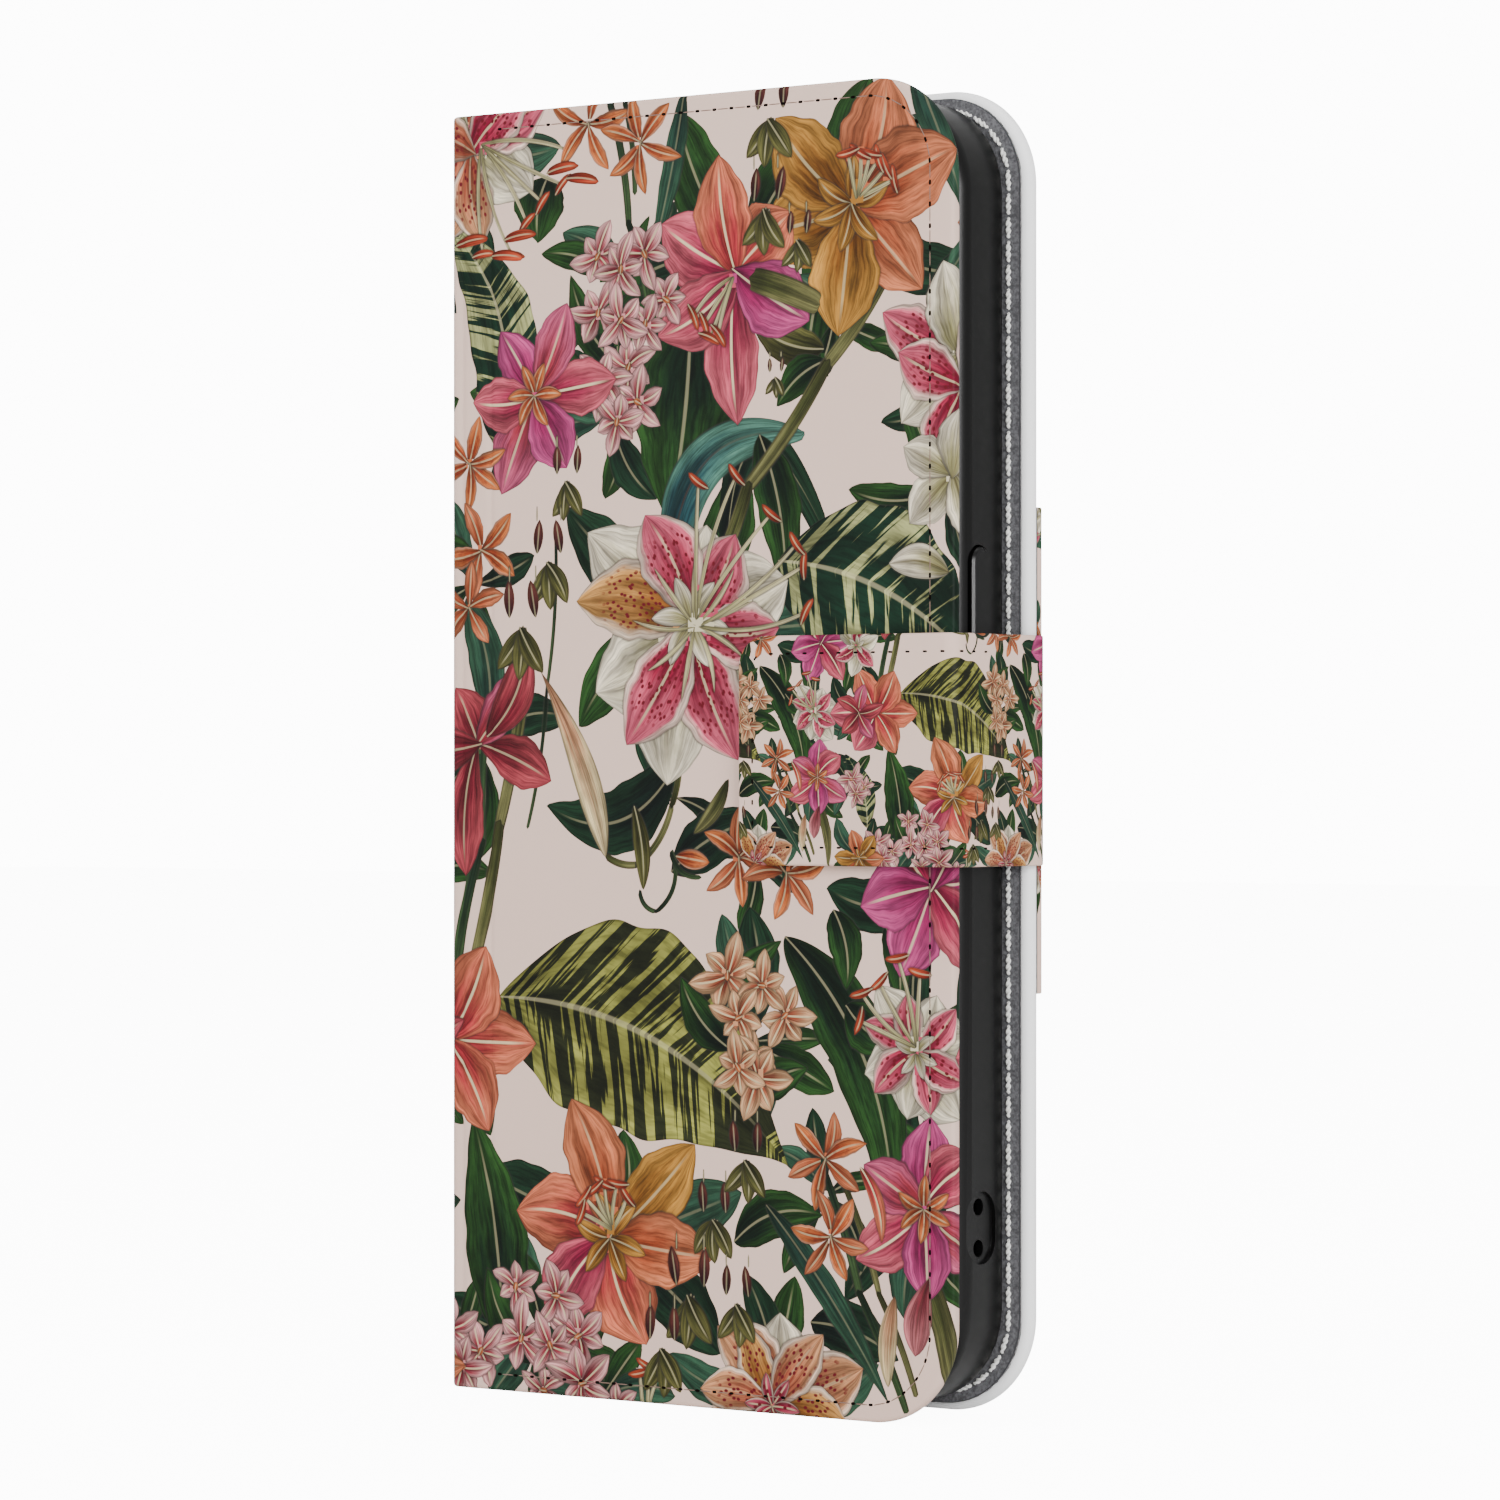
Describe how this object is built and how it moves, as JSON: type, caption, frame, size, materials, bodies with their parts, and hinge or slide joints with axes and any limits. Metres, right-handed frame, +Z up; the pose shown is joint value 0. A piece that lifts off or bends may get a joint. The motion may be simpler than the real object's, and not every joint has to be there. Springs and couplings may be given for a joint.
{
  "type": "phone case",
  "caption": "Book-style folding phone cover with a printed leather outside, a soft inner tray, card pockets and a magnetic strap that closes round the open side.",
  "frame": {"origin": "under the middle of the closed cover, on the surface that its lower edge stands on", "axes": "+X from the spine to the open side, +Y from the front cover to the back cover, +Z up along the cover"},
  "size_m": [0.082, 0.0216, 0.168],
  "materials": {
    "printed_leather": "smooth embossed synthetic leather with a floral print",
    "suede_lining": "grey microfibre suede",
    "core_board": "pressed grey board",
    "tray_rubber": "satin black flexible plastic",
    "adhesive": "thin double-sided sheet",
    "plated_steel": "plain plated disc"
  },
  "bodies": {
    "back_cover": {"back_skin": "printed_leather", "back_board": "core_board", "back_lining": "suede_lining", "tray_adhesive_pad": "adhesive", "phone_tray": "tray_rubber", "strap_base_patch": "printed_leather"},
    "spine": {"spine_skin": "printed_leather", "spine_board": "core_board", "spine_lining": "suede_lining"},
    "front_cover": {"front_skin": "printed_leather", "front_board": "core_board", "front_lining": "suede_lining", "closure_keeper_plate": "plated_steel", "cash_pocket_panel": "suede_lining", "card_pocket_1": "suede_lining", "card_pocket_2": "suede_lining", "card_pocket_3": "suede_lining"},
    "strap_side": {"strap_side_skin": "printed_leather", "strap_side_lining": "suede_lining"},
    "strap_tab": {"strap_tab_skin": "printed_leather", "strap_tab_core": "core_board", "strap_tab_lining": "suede_lining", "strap_magnet": "plated_steel"},
    "power_key": {"power_button": "tray_rubber"},
    "volume_up_key": {"volume_up_button": "tray_rubber"},
    "volume_down_key": {"volume_down_button": "tray_rubber"}
  },
  "joints": [
    {"name": "spine_fold", "type": "hinge", "parent": "back_cover", "child": "spine", "pos_m": [-0.0401, 0.0086, 0.084], "axis": [0, 0, -1], "range_deg": [0, 180]},
    {"name": "cover_fold", "type": "hinge", "parent": "spine", "child": "front_cover", "pos_m": [-0.0401, -0.00825, 0.084], "axis": [0, 0, -1], "range_deg": [0, 180]},
    {"name": "strap_side_fold", "type": "hinge", "parent": "back_cover", "child": "strap_side", "pos_m": [0.0404, 0.01045, 0.084], "axis": [0, 0, 1], "range_deg": [0, 180]},
    {"name": "strap_tab_fold", "type": "hinge", "parent": "strap_side", "child": "strap_tab", "pos_m": [0.0404, -0.0101, 0.084], "axis": [0, 0, 1], "range_deg": [0, 110]},
    {"name": "power_press", "type": "slide", "parent": "back_cover", "child": "power_key", "axis": [-1, 0, 0], "range_m": [0, 0.0004], "stiffness_N_per_m": 1500},
    {"name": "volume_up_press", "type": "slide", "parent": "back_cover", "child": "volume_up_key", "axis": [1, 0, 0], "range_m": [0, 0.0004], "stiffness_N_per_m": 1500},
    {"name": "volume_down_press", "type": "slide", "parent": "back_cover", "child": "volume_down_key", "axis": [1, 0, 0], "range_m": [0, 0.0004], "stiffness_N_per_m": 1500}
  ]
}
